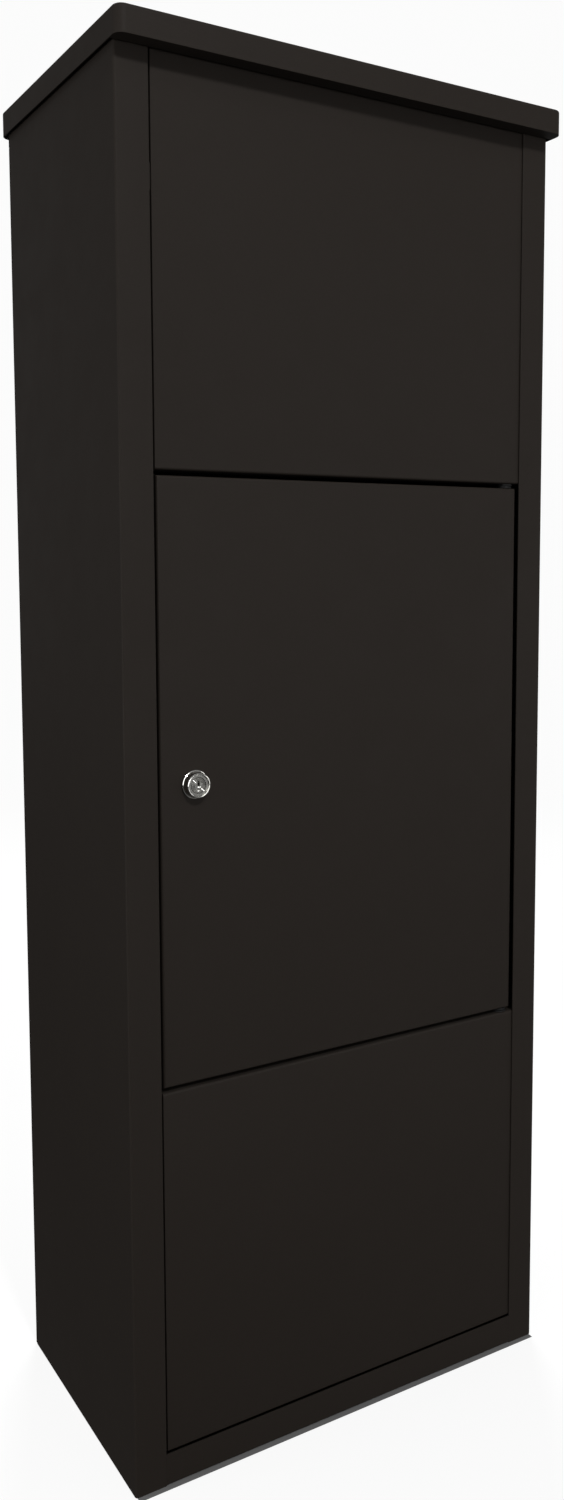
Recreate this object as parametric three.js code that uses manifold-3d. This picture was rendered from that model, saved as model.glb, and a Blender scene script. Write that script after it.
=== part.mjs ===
// Parcel drop box: a folded sheet-steel cabinet with a lifting lid, a locked door and a baffle flap.
// Millimetres. X is to the right, Y to the back, Z up. The front faces -Y, and the origin is on the
// floor, under the middle of the whole box.
import * as THREE from "three";
import { mergeVertices } from "three/addons/utils/BufferGeometryUtils.js";
import Module from "manifold-3d";

const wasm = await Module();
wasm.setup();

// ---------- driving dimensions ----------
const BODY_WIDTH = 410;
const BODY_DEPTH = 235;
const HEIGHT = 1130;
const SHEET = 1.2;
const FOLD = 0.8; // inner radius of a fold
const GAP = 0.3; // between pieces that touch

const FLANGE = 27; // front flange of each side panel
const RAIL_HEIGHT = 26.5; // bottom rail, folded up from the base pan
const RAIL_SLOT = 0.7; // from the rail to the lower front panel
const LID_SKIRT = 20.6;
const LID_CLEARANCE = 1.5; // from the lid's front lip to the cabinet's front
const LID_SIDE_OVERHANG = 4;
const LID_FRONT_OVERHANG = 16;
const LID_REAR_OVERHANG = 8;
const LID_CORNER = 8;
const LID_LIFT = 2.8; // from the rim to the lid's underside
const LID_HINGE_X = 130;

const DOOR_BOTTOM = 328.3;
const DOOR_TOP = 803.7;
const DOOR_SIDE_GAP = 2.85;
const DOOR_END_GAP = 4;
const DOOR_DEPTH = 15;
const STOP_DEPTH = 2; // from the door's back edge to the jamb
const TOP_FOLD = 17; // depth of the upper front panel's fold under the lid
const RAIL = 18; // width of the rear flanges and of the rails around the top opening
const PIN_RADIUS = 3; // door pivots and baffle rod
const BUSH_RADIUS = 4.5;
const BARREL_RADIUS = 9; // of the lock, behind the door
const CAM_THICKNESS = 2.5;
const CAM_SQUARE = 3; // half the side of the plug's square tail
const STUD_RADIUS = 2.5;
const BAFFLE_SIDE = 198; // half the flap's width
const BAFFLE_TOP = 8; // the flap's upper face, above its axis

// ---------- the places that follow from them ----------
const LID_DEPTH = BODY_DEPTH + LID_FRONT_OVERHANG + LID_REAR_OVERHANG;
const LID_WIDTH = BODY_WIDTH + 2 * LID_SIDE_OVERHANG;
const FRONT = -LID_DEPTH / 2 + LID_FRONT_OVERHANG;
const BACK = FRONT + BODY_DEPTH;
const SIDE = BODY_WIDTH / 2;
const WIDE = SIDE - SHEET - GAP; // half width of what fits between the side panels
const OPENING = SIDE - FLANGE; // inner edge of a front flange
const PANEL_FACE = FRONT + SHEET + GAP; // the fixed panels and the door share this plane
const PANEL_BACK = PANEL_FACE + SHEET;
const PANEL_SIDE = OPENING + 12; // the fixed panels lap behind the flanges
const REAR_SHEET = BACK - SHEET; // inner face of the rear panel
const REAR_FLANGE = REAR_SHEET - GAP; // outer face of a side panel's rear flange
const FRONT_CLEAR = FRONT + SHEET + FOLD; // inner pieces stay clear of the side panels' folds
const REAR_CLEAR = REAR_FLANGE - SHEET - FOLD;
const LID_UNDERSIDE = HEIGHT - SHEET;
const LID_BOTTOM = HEIGHT - LID_SKIRT;
const RIM = LID_UNDERSIDE - LID_LIFT; // top of the cabinet
const REAR_PANEL_TOP = 1100;
const DOOR_SIDE = OPENING - DOOR_SIDE_GAP;
const DOOR_BACK = PANEL_FACE + DOOR_DEPTH;
const SILL = DOOR_BOTTOM - DOOR_END_GAP;
const LINTEL = DOOR_TOP + DOOR_END_GAP;
const JAMB_FACE = DOOR_BACK + STOP_DEPTH;
const BARREL_BACK = JAMB_FACE + SHEET + 0.5;
const CAM_FRONT = BARREL_BACK + 0.7;
const CAM_BACK = CAM_FRONT + CAM_THICKNESS;

// ---------- axes of what turns ----------
const DOOR_AXIS = [167.5, PANEL_FACE + 7]; // x, y
const LID_AXIS = [BACK + 3.4, LID_BOTTOM + 2.3]; // y, z
const LOCK_AXIS = [-146, (DOOR_BOTTOM + DOOR_TOP) / 2 + 1]; // x, z
const BAFFLE_AXIS = [BACK - 14, 1000]; // y, z

// ---------- finishes ----------
const finish = (color, roughness, metalness) => ({ color, roughness, metalness, flatShading: true });
const POWDER_COAT = finish(0x2a2624, 0.55, 0.15);
const ZINC = finish(0x9a9c9e, 0.4, 0.9);
const CHROME = finish(0xc9c9c4, 0.12, 1);
const SPRING_STEEL = finish(0x8b8d90, 0.3, 1);
const RUBBER = finish(0x141414, 0.85, 0);
const NYLON = finish(0x1c1c1c, 0.5, 0);
const BLACK_ZINC = finish(0x303032, 0.45, 0.9);

// ---------- solids ----------
function solidOf(geometry) {
  geometry.deleteAttribute("normal");
  geometry.deleteAttribute("uv");
  const merged = mergeVertices(geometry);
  const vertProperties = merged.attributes.position.array;
  const triVerts = new Uint32Array(merged.index.array);
  return new wasm.Manifold(new wasm.Mesh({ numProp: 3, vertProperties, triVerts }));
}

function piece(name, solid, material) {
  const { vertProperties, triVerts } = solid.getMesh();
  const geometry = new THREE.BufferGeometry();
  geometry.setAttribute("position", new THREE.BufferAttribute(vertProperties, 3));
  geometry.setIndex(new THREE.BufferAttribute(triVerts, 1));
  geometry.computeVertexNormals();
  const mesh = new THREE.Mesh(geometry, new THREE.MeshStandardMaterial(material));
  mesh.name = name;
  return mesh;
}

const union = (solids) => solids.reduce((whole, next) => whole.add(next));
const cut = (solid, tools) => tools.reduce((rest, tool) => rest.subtract(tool), solid);
const mirrored = (solid) => solid.mirror([1, 0, 0]);
const rising = (a, b) => [Math.min(a, b), Math.max(a, b)];

// A piece at the left and its mirror image at the right.
const leftAndRight = (name, solid, material) => [
  piece(`${name}_left`, solid, material),
  piece(`${name}_right`, mirrored(solid), material),
];

function block([x0, x1], [y0, y1], [z0, z1]) {
  const geometry = new THREE.BoxGeometry(x1 - x0, y1 - y0, z1 - z0);
  geometry.translate((x0 + x1) / 2, (y0 + y1) / 2, (z0 + z1) / 2);
  return solidOf(geometry);
}

// The world directions of a profile's first axis, its second axis and its length.
const X = new THREE.Vector3(1, 0, 0);
const Y = new THREE.Vector3(0, 1, 0);
const Z = new THREE.Vector3(0, 0, 1);
const LAID = {
  x: new THREE.Matrix4().makeBasis(Y, Z, X),
  y: new THREE.Matrix4().makeBasis(X, Z, Y.clone().negate()),
  z: new THREE.Matrix4(),
};

// A profile in (y, z), (x, z) or (x, y), drawn out along X, Y or Z.
function prism(axis, shape, [from, to]) {
  const depth = to - from;
  const geometry = new THREE.ExtrudeGeometry(shape, { depth, bevelEnabled: false, curveSegments: 6 });
  geometry.translate(0, 0, axis === "y" ? -to : from);
  geometry.applyMatrix4(LAID[axis]);
  return solidOf(geometry);
}

function polygon([a, b], radius, sides) {
  const corners = [];
  for (let i = 0; i < sides; i++) {
    const angle = (2 * Math.PI * i) / sides;
    corners.push(new THREE.Vector2(a + radius * Math.cos(angle), b + radius * Math.sin(angle)));
  }
  return new THREE.Shape(corners);
}

const rod = (axis, centre, radius, span, sides = 24) =>
  prism(axis, polygon(centre, radius, sides), span);

function tube(axis, centre, [inner, outer], [from, to], sides = 24) {
  const bore = rod(axis, centre, inner, [from - 1, to + 1]);
  return rod(axis, centre, outer, [from, to], sides).subtract(bore);
}

// The section of a folded sheet: its line runs through the corners, with the metal on its left.
function folded(corners) {
  const points = corners.map(([a, b]) => new THREE.Vector2(a, b));
  const last = points.length - 1;
  const leftOf = (direction) => new THREE.Vector2(-direction.y, direction.x);
  const direction = (i) => points[i + 1].clone().sub(points[i]).normalize();
  const near = [points[0]];
  const far = [points[0].clone().addScaledVector(leftOf(direction(0)), SHEET)];
  const steps = 3;
  for (let i = 1; i < last; i++) {
    const before = direction(i - 1);
    const after = direction(i);
    const turn = Math.atan2(before.cross(after), before.dot(after));
    const side = Math.sign(turn);
    const radius = side > 0 ? FOLD + SHEET : FOLD;
    const centre = points[i]
      .clone()
      .addScaledVector(before, -radius * Math.tan(Math.abs(turn) / 2))
      .addScaledVector(leftOf(before), side * radius);
    for (let step = 0; step <= steps; step++) {
      const spoke = leftOf(before).multiplyScalar(-side);
      spoke.rotateAround(new THREE.Vector2(), (turn * step) / steps);
      near.push(centre.clone().addScaledVector(spoke, radius));
      far.push(centre.clone().addScaledVector(spoke, radius - side * SHEET));
    }
  }
  near.push(points[last]);
  far.push(points[last].clone().addScaledVector(leftOf(direction(last - 1)), SHEET));
  return new THREE.Shape([...near, ...far.reverse()]);
}

// The section of a top-hat stiffener: two feet, and a crown at a height above or below them.
function hat({ middle, foot, height, halfCrown, halfWidth }) {
  return folded([
    [middle - halfWidth, foot],
    [middle - halfCrown, foot],
    [middle - halfCrown, foot + height],
    [middle + halfCrown, foot + height],
    [middle + halfCrown, foot],
    [middle + halfWidth, foot],
  ]);
}

function roundedRectangle(halfX, halfY, radius) {
  const shape = new THREE.Shape();
  const corners = [
    [1, -1],
    [1, 1],
    [-1, 1],
    [-1, -1],
  ];
  corners.forEach(([right, back], i) => {
    const start = ((i - 1) * Math.PI) / 2;
    const x = right * (halfX - radius);
    const y = back * (halfY - radius);
    shape.absarc(x, y, radius, start, start + Math.PI / 2);
  });
  return shape;
}

// ---------- cabinet ----------
// Side, front flange and narrow rear flange, folded from one sheet.
function sidePanels() {
  const section = folded([
    [-SIDE + RAIL, REAR_FLANGE],
    [-SIDE, REAR_FLANGE],
    [-SIDE, FRONT],
    [-OPENING, FRONT],
  ]);
  return leftAndRight("side_panel", prism("z", section, [0, RIM]), POWDER_COAT);
}

// The wall-fixing holes are closed from inside by rubber plugs that stay under the outer face.
function rearPanel() {
  const radius = 5;
  const lap = 3; // of a plug's head around its hole
  const headBack = REAR_SHEET - GAP;
  const headFront = headBack - 2;
  const [x, low, high] = [120, 150, 950];
  const places = [
    ["bottom_left", [-x, low]],
    ["bottom_right", [x, low]],
    ["top_left", [-x, high]],
    ["top_right", [x, high]],
  ];
  const sheet = block([-SIDE + GAP, SIDE - GAP], [REAR_SHEET, BACK], [0, REAR_PANEL_TOP]);
  const holes = places.map(([, centre]) => rod("y", centre, radius, [REAR_SHEET - 1, BACK + 1]));
  const plugs = places.map(([place, centre]) => {
    const stem = rod("y", centre, radius - GAP, [headFront + GAP, BACK - GAP]);
    const head = rod("y", centre, radius + lap, [headFront, headBack]);
    return piece(`rear_plug_${place}`, stem.add(head), RUBBER);
  });
  return [piece("rear_panel", cut(sheet, holes), POWDER_COAT), ...plugs];
}

// A tray whose front edge comes forward between the flanges as the bottom rail. Four anchor holes.
function basePan() {
  const upturn = 20;
  const anchorRadius = 6;
  const anchors = [-150, 150].flatMap((x) => [-75, 75].map((y) => [x, y]));
  const middle = folded([
    [FRONT, RAIL_HEIGHT],
    [FRONT, 0],
    [REAR_CLEAR, 0],
    [REAR_CLEAR, upturn],
  ]);
  const rail = prism("x", middle, [-OPENING + GAP, OPENING - GAP]);
  const floor = block([-WIDE, WIDE], [FRONT_CLEAR, REAR_CLEAR], [0, SHEET]);
  const side = block([-WIDE, -WIDE + SHEET], [FRONT_CLEAR, REAR_CLEAR], [0, upturn]);
  const holes = anchors.map((centre) => rod("z", centre, anchorRadius, [-1, SHEET + 1]));
  return [piece("base_pan", cut(union([rail, floor, side, mirrored(side)]), holes), POWDER_COAT)];
}

// Both fixed panels lap behind the flanges and are folded back at their top and bottom edges.
function frontPanels() {
  const foot = RAIL_HEIGHT + RAIL_SLOT;
  const footFold = 12;
  const lower = folded([
    [DOOR_BACK, SILL],
    [PANEL_FACE, SILL],
    [PANEL_FACE, foot],
    [PANEL_FACE + footFold, foot],
  ]);
  const upper = folded([
    [PANEL_FACE + TOP_FOLD, RIM],
    [PANEL_FACE, RIM],
    [PANEL_FACE, LINTEL],
    [DOOR_BACK, LINTEL],
  ]);
  const span = [-PANEL_SIDE, PANEL_SIDE];
  const pivotHole = rod("z", DOOR_AXIS, PIN_RADIUS + GAP, [SILL - SHEET - 1, LINTEL + SHEET + 1]);
  return [
    piece("lower_front_panel", prism("x", lower, span).subtract(pivotHole), POWDER_COAT),
    piece("upper_front_panel", prism("x", upper, span).subtract(pivotHole), POWDER_COAT),
  ];
}

// The compartment's floor lies just under the sill, over an empty plinth. One front corner is
// notched for the door's lower pivot.
function compartmentFloor() {
  const top = SILL - SHEET - GAP;
  const skirt = 20;
  const room = 10; // around the pivot's axis
  const section = folded([
    [WIDE, top - skirt],
    [WIDE, top],
    [-WIDE, top],
    [-WIDE, top - skirt],
  ]);
  const shelf = prism("y", section, [PANEL_BACK + FOLD, REAR_CLEAR]);
  const [x, y] = DOOR_AXIS;
  const notch = block([x - room, SIDE], [FRONT, y + room], [top - skirt - 1, top + 1]);
  return [piece("compartment_floor", shelf.subtract(notch), POWDER_COAT)];
}

// Angles that stiffen the top opening, and the rubber seal that lies on them.
function rim() {
  const ledge = 15;
  const lip = 12;
  const sideRail = folded([
    [-WIDE + ledge, RIM],
    [-WIDE, RIM],
    [-WIDE, RIM - RAIL],
  ]);
  const sideSpan = [PANEL_FACE + TOP_FOLD + GAP, REAR_CLEAR];
  const rearRail = folded([
    [BACK, REAR_PANEL_TOP + GAP],
    [BACK, RIM],
    [BACK - RAIL, RIM],
    [BACK - RAIL, RIM - lip],
  ]);
  const rearHalf = WIDE - ledge - 2;
  const closing = block([-SIDE + GAP, SIDE - GAP], [REAR_SHEET, BACK], [REAR_PANEL_TOP + GAP, RIM - 4]);
  const sealSpan = [RIM + GAP, LID_UNDERSIDE - GAP];
  const sealWidth = 8;
  const [halfX, halfY] = [WIDE - 3, BACK - 8];
  const outline = roundedRectangle(halfX, halfY, 6);
  const hollow = roundedRectangle(halfX - sealWidth, halfY - sealWidth, 3);
  const seal = prism("z", outline, sealSpan).subtract(prism("z", hollow, [RIM, LID_UNDERSIDE]));
  return [
    ...leftAndRight("rim_rail", prism("y", sideRail, sideSpan), POWDER_COAT),
    piece("rear_top_rail", prism("x", rearRail, [-rearHalf, rearHalf]).add(closing), POWDER_COAT),
    piece("lid_seal", seal.translate([0, (FRONT + BACK) / 2, 0]), RUBBER),
  ];
}

// The lock's cam catches behind the left jamb. The right one stiffens the flange beside the pivots.
function jambs() {
  const span = [SILL + 2, LINTEL - 2];
  const back = JAMB_FACE + SHEET;
  const front = PANEL_FACE + 1;
  const lap = 7; // of the latch jamb behind the door
  const latch = folded([
    [-DOOR_SIDE + lap, back],
    [-WIDE, back],
    [-WIDE, front],
  ]);
  const hinge = folded([
    [WIDE, front],
    [WIDE, back],
    [OPENING + 4, back],
  ]);
  const sealX = [-DOOR_SIDE - 1, -DOOR_SIDE + lap - 1.5];
  const seal = block(sealX, [DOOR_BACK + GAP, JAMB_FACE - GAP], [DOOR_BOTTOM + 4, DOOR_TOP - 4]);
  return [
    piece("latch_jamb", prism("z", latch, span), POWDER_COAT),
    piece("hinge_jamb", prism("z", hinge, span), POWDER_COAT),
    piece("door_seal", seal, RUBBER),
  ];
}

// ---------- door ----------
// A shallow pan with a hole for the lock and one in each end for the pivots.
function doorPanel() {
  const outer = block([-DOOR_SIDE, DOOR_SIDE], [PANEL_FACE, DOOR_BACK], [DOOR_BOTTOM, DOOR_TOP]);
  const hollow = block(
    [-DOOR_SIDE + SHEET, DOOR_SIDE - SHEET],
    [PANEL_BACK, DOOR_BACK + 1],
    [DOOR_BOTTOM + SHEET, DOOR_TOP - SHEET],
  );
  const lockHole = rod("y", LOCK_AXIS, BARREL_RADIUS + GAP, [PANEL_FACE - 1, PANEL_BACK + 1], 32);
  const pivotHoles = rod("z", DOOR_AXIS, BUSH_RADIUS + GAP, [DOOR_BOTTOM - 1, DOOR_TOP + 1]);
  const foot = PANEL_BACK + GAP;
  const section = hat({ middle: 10, foot, height: 11, halfCrown: 16, halfWidth: 30 });
  const stiffener = prism("z", section, [DOOR_BOTTOM + 12, DOOR_TOP - 12]);
  return [
    piece("door_panel", cut(outer, [hollow, lockHole, pivotHoles]), POWDER_COAT),
    piece("door_stiffener", stiffener, POWDER_COAT),
  ];
}

// One end's pivot: a collared pin in the fixed panel, a washer on it, and a flanged bush in the door.
// Heights are measured from the fixed panel's face towards the door.
function doorPivot(place, fixedFace, doorFace) {
  const towards = Math.sign(doorFace - fixedFace);
  const span = (from, to) => rising(fixedFace + towards * from, fixedFace + towards * to);
  const underside = -SHEET - GAP;
  const pinEnd = underside - 3;
  const bore = PIN_RADIUS + 0.2;
  const collar = rod("z", DOOR_AXIS, PIN_RADIUS + 1, span(pinEnd, underside));
  const shaft = rod("z", DOOR_AXIS, PIN_RADIUS, span(pinEnd, DOOR_END_GAP + 9));
  const washer = tube("z", DOOR_AXIS, [PIN_RADIUS + GAP, 7], span(GAP, 1.7));
  const flange = tube("z", DOOR_AXIS, [bore, 6.5], span(2, DOOR_END_GAP - GAP));
  const sleeve = tube("z", DOOR_AXIS, [bore, BUSH_RADIUS], span(2, DOOR_END_GAP + 6));
  return {
    fixed: [
      piece(`door_pivot_pin_${place}`, collar.add(shaft), BLACK_ZINC),
      piece(`door_washer_${place}`, washer, NYLON),
    ],
    moving: [piece(`door_bush_${place}`, flange.add(sleeve), NYLON)],
  };
}

// ---------- lock ----------
// Turns a closed outline of (radius, distance from the door's face towards the front) about the
// lock's axis.
function turnedLockPiece(outline) {
  const points = outline.map(([radius, out]) => new THREE.Vector2(radius, PANEL_FACE - out));
  const geometry = new THREE.LatheGeometry([...points, points[0]].reverse(), 32);
  geometry.translate(LOCK_AXIS[0], 0, LOCK_AXIS[1]);
  return solidOf(geometry);
}

// Flange, groove and bezel in front of the door, and the barrel behind, around the plug's bore.
function lockHousing() {
  const bore = 6.3;
  const barrelEnd = PANEL_FACE - BARREL_BACK;
  return turnedLockPiece([
    [bore, barrelEnd],
    [BARREL_RADIUS, barrelEnd],
    [BARREL_RADIUS, 1],
    [11, 1],
    [11, 2.8],
    [9.6, 2.8],
    [9.6, 3.6],
    [10.2, 3.6],
    [10.2, 7.6],
    [9.5, 8.2],
    [8.2, 8.2],
    [7.4, 7.4],
    [bore, 7.4],
  ]);
}

// The plug has a keyway in its face and a square tail with a threaded stud for the cam and nut.
function lockPlug() {
  const [x, z] = LOCK_AXIS;
  const face = PANEL_FACE - 7;
  const [halfSlot, halfKey, keyDepth] = [0.95, 3.6, 8];
  const tailX = [x - CAM_SQUARE, x + CAM_SQUARE];
  const tailZ = [z - CAM_SQUARE, z + CAM_SQUARE];
  const body = rod("y", LOCK_AXIS, 6, [face, BARREL_BACK + GAP]);
  const square = block(tailX, [BARREL_BACK, CAM_BACK + GAP], tailZ);
  const stud = rod("y", LOCK_AXIS, STUD_RADIUS, [CAM_BACK, CAM_BACK + 6], 12);
  const keyway = block(
    [x - halfSlot, x + halfSlot],
    [face - 1, face + keyDepth],
    [z - halfKey, z + halfKey],
  );
  return union([body, square, stud]).subtract(keyway);
}

// The cam hangs down when the lock is open.
function lockCam() {
  const [x, z] = LOCK_AXIS;
  const halfWidth = 7.5;
  const reach = 40;
  const chamfer = 3;
  const shape = new THREE.Shape();
  shape.absarc(x, z, halfWidth, 0, Math.PI);
  shape.lineTo(x - halfWidth, z - reach + chamfer);
  shape.lineTo(x - halfWidth + chamfer, z - reach);
  shape.lineTo(x + halfWidth - chamfer, z - reach);
  shape.lineTo(x + halfWidth, z - reach + chamfer);
  const hole = CAM_SQUARE + GAP;
  const square = block([x - hole, x + hole], [CAM_FRONT - 1, CAM_BACK + 1], [z - hole, z + hole]);
  return prism("y", shape, [CAM_FRONT, CAM_BACK]).subtract(square);
}

function lock() {
  const bore = BARREL_RADIUS + GAP;
  const nut = tube("y", LOCK_AXIS, [bore, 13], [PANEL_BACK + GAP, PANEL_BACK + 4.3], 6);
  const camNut = tube("y", LOCK_AXIS, [STUD_RADIUS + GAP, 5], [CAM_BACK + 2 * GAP, CAM_BACK + 4.6], 6);
  const gasket = tube("y", LOCK_AXIS, [bore, 10.8], [PANEL_FACE - 0.85, PANEL_FACE - 0.15]);
  return {
    housing: [
      piece("lock_housing", lockHousing(), CHROME),
      piece("lock_gasket", gasket, RUBBER),
      piece("lock_nut", nut, ZINC),
    ],
    turning: [
      piece("lock_plug", lockPlug(), CHROME),
      piece("lock_cam", lockCam(), ZINC),
      piece("cam_nut", camNut, ZINC),
    ],
  };
}

// ---------- lid ----------
// A pan with rounded corners. The front skirt is folded in along its bottom, up to the cabinet.
function lidPan() {
  const outer = roundedRectangle(LID_WIDTH / 2, LID_DEPTH / 2, LID_CORNER);
  const inner = roundedRectangle(LID_WIDTH / 2 - SHEET, LID_DEPTH / 2 - SHEET, LID_CORNER - SHEET);
  const lip = block(
    [-LID_WIDTH / 2, LID_WIDTH / 2],
    [-LID_DEPTH / 2, FRONT - LID_CLEARANCE],
    [LID_BOTTOM - 1, LID_BOTTOM + SHEET],
  );
  const hollow = prism("z", inner, [LID_BOTTOM - 1, LID_UNDERSIDE]).subtract(lip);
  const foot = LID_UNDERSIDE - GAP - SHEET;
  const section = hat({ middle: 0, foot, height: -10, halfCrown: 14, halfWidth: 26 });
  const stiffener = prism("x", section, [-150, 150]);
  return [
    piece("lid_pan", prism("z", outer, [LID_BOTTOM, HEIGHT]).subtract(hollow), POWDER_COAT),
    piece("lid_stiffener", stiffener, POWDER_COAT),
  ];
}

// A butt hinge that stands up between the rear rail and the lid's skirt. The fixed leaf has the two
// outer knuckles and the moving leaf has the middle one.
function lidHinge(place, middle) {
  const [y, z] = LID_AXIS;
  const knuckle = 3;
  const pinRadius = 1.5;
  const half = 30; // of the hinge's length
  const third = 15; // half the middle knuckle's length
  const notch = knuckle + 0.6;
  const leaf = (outerY, knuckles) => {
    const side = rising(outerY, outerY - Math.sign(outerY - y) * SHEET);
    const plate = block([middle - half, middle + half], side, [z + notch, RIM - 1.5]);
    const rolled = knuckles.map(([from, to]) => {
      const tab = block([from, to], side, [z, z + notch + 1]);
      return rod("x", LID_AXIS, knuckle, [from, to]).add(tab);
    });
    const bore = rod("x", LID_AXIS, pinRadius + 0.25, [middle - half - 1, middle + half + 1], 16);
    return union([plate, ...rolled]).subtract(bore);
  };
  const outerKnuckles = [
    [middle - half, middle - third - GAP],
    [middle + third + GAP, middle + half],
  ];
  const pin = rod("x", LID_AXIS, pinRadius, [middle - half - 1, middle + half + 1], 16);
  const heads = [-1, 1].map((side) => {
    const span = rising(middle + side * (half + GAP), middle + side * (half + 1.5));
    return rod("x", LID_AXIS, 2.4, span, 16);
  });
  return {
    fixed: [
      piece(`lid_hinge_fixed_leaf_${place}`, leaf(y - knuckle, outerKnuckles), ZINC),
      piece(`lid_hinge_pin_${place}`, union([pin, ...heads]), ZINC),
    ],
    moving: [
      piece(`lid_hinge_moving_leaf_${place}`, leaf(y + knuckle, [[middle - third, middle + third]]), ZINC),
    ],
  };
}

// ---------- baffle ----------
// A plate under the drop opening with a rounded ear at each side for the rod, and a front lip.
function baffleFlap() {
  const [y, z] = BAFFLE_AXIS;
  const tip = 213;
  const lipDepth = 14;
  const earRadius = 9;
  const earLength = 180;
  const top = z + BAFFLE_TOP;
  const wide = [-BAFFLE_SIDE, BAFFLE_SIDE];
  const plate = block(wide, [y - tip, y + 4], [top - SHEET, top]);
  const lip = block(wide, [y - tip, y - tip + SHEET], [top - lipDepth, top]);
  const shape = new THREE.Shape();
  shape.moveTo(y - earLength, top);
  shape.lineTo(y - earLength, top - 10);
  shape.lineTo(y, z - earRadius);
  shape.absarc(y, z, earRadius, -Math.PI / 2, Math.PI / 3);
  const ear = prism("x", shape, [-BAFFLE_SIDE, -BAFFLE_SIDE + SHEET]);
  const bore = rod("x", BAFFLE_AXIS, PIN_RADIUS + 0.2, [-BAFFLE_SIDE - 1, BAFFLE_SIDE + 1]);
  return piece("baffle_flap", union([plate, lip, ear, mirrored(ear)]).subtract(bore), POWDER_COAT);
}

class Coil extends THREE.Curve {
  constructor(radius, pitch, turns) {
    super();
    Object.assign(this, { radius, pitch, turns });
  }
  getPoint(t) {
    const angle = 2 * Math.PI * this.turns * t;
    const along = this.pitch * this.turns * t;
    return new THREE.Vector3(along, this.radius * Math.cos(angle), this.radius * Math.sin(angle));
  }
}

function torsionSpring() {
  const turns = 6;
  const coil = new Coil(5.1, 2.4, turns);
  const wire = polygon([0, 0], 0.8, 6);
  const settings = { extrudePath: coil, steps: turns * 12, bevelEnabled: false };
  const geometry = new THREE.ExtrudeGeometry(wire, settings);
  geometry.translate(-BAFFLE_SIDE + 4, ...BAFFLE_AXIS);
  return solidOf(geometry);
}

// What stays on the cabinet: rod, brackets, springs, and the rail with two buffers that stops the flap.
function baffleSupports() {
  const [y, z] = BAFFLE_AXIS;
  const thick = 2.5;
  const half = 15;
  const plate = block([-WIDE, -WIDE + thick], [y - half, REAR_CLEAR], [z - half, z + half]);
  const hole = rod("x", BAFFLE_AXIS, PIN_RADIUS + GAP, [-SIDE, -WIDE + thick + 1]);
  const railFront = PANEL_BACK + GAP;
  const stop = z + BAFFLE_TOP + 2;
  const rail = folded([
    [railFront, stop + 20],
    [railFront, stop],
    [railFront + RAIL, stop],
  ]);
  const buffer = rod("z", [-120, railFront + 11], 6, [z + BAFFLE_TOP + GAP, stop - GAP]);
  return [
    piece("baffle_rod", rod("x", BAFFLE_AXIS, PIN_RADIUS, [-WIDE, WIDE]), ZINC),
    piece("baffle_stop_rail", prism("x", rail, [-PANEL_SIDE + 5, PANEL_SIDE - 5]), POWDER_COAT),
    ...leftAndRight("baffle_bracket", plate.subtract(hole), ZINC),
    ...leftAndRight("baffle_spring", torsionSpring(), SPRING_STEEL),
    ...leftAndRight("baffle_buffer", buffer, RUBBER),
  ];
}

// ---------- the whole box ----------
function assembly(...children) {
  const group = new THREE.Group();
  group.add(...children.flat());
  return group;
}

const sillPivot = doorPivot("bottom", SILL, DOOR_BOTTOM);
const lintelPivot = doorPivot("top", LINTEL, DOOR_TOP);
const leftHinge = lidHinge("left", -LID_HINGE_X);
const rightHinge = lidHinge("right", LID_HINGE_X);
const { housing, turning } = lock();

const cabinet = assembly(
  sidePanels(),
  rearPanel(),
  basePan(),
  frontPanels(),
  compartmentFloor(),
  rim(),
  jambs(),
  sillPivot.fixed,
  lintelPivot.fixed,
  leftHinge.fixed,
  rightHinge.fixed,
  baffleSupports(),
);
const door = assembly(doorPanel(), sillPivot.moving, lintelPivot.moving, housing, assembly(turning));
const lid = assembly(lidPan(), leftHinge.moving, rightHinge.moving);

export default assembly(cabinet, door, lid, baffleFlap());
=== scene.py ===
"""Looks of the parcel drop box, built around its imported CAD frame.

Metres. X is to the right, Y to the back, Z up, and the front faces -Y.
"""

import math

import bmesh
import bpy
from mathutils import Matrix, Vector


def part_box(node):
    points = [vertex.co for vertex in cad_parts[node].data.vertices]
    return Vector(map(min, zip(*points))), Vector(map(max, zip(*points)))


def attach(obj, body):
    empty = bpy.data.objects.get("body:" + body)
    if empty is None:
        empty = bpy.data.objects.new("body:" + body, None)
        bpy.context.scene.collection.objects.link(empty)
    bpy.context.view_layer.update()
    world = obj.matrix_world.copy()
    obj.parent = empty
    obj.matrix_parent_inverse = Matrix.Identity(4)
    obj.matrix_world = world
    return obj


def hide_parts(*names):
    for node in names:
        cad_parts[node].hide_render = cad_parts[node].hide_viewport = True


MM = 0.001
SHEET = 1.2 * MM
FOLD = 2.0 * MM  # outer radius of a fold
FOLD_STEPS = 8
EDGE = 0.25 * MM  # rounding of cut edges under the paint
GAP = 0.3 * MM
ROUND_SIDES = 64
LOCK_HOLE = 9.3 * MM  # radius of the hole round the lock's barrel
SMOOTH_BELOW = math.radians(35)
CRISP_BELOW = math.radians(15)
SURROUND = 0.97  # brightness of the backdrop and of the far floor, as the camera sees them
SURROUND_LIGHT = 0.24  # brightness of the backdrop in reflections, and as light on the box

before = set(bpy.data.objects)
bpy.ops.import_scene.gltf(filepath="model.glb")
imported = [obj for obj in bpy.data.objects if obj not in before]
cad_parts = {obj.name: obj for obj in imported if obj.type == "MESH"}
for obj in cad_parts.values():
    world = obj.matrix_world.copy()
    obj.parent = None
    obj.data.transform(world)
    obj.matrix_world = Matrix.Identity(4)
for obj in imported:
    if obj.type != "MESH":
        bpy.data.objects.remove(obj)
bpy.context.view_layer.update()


class Box:
    """A CAD node's box at rest, in words."""

    def __init__(self, node):
        low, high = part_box(node)
        self.left, self.front, self.bottom = low
        self.right, self.back, self.top = high
        self.x, self.y, self.z = (low + high) / 2


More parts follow.
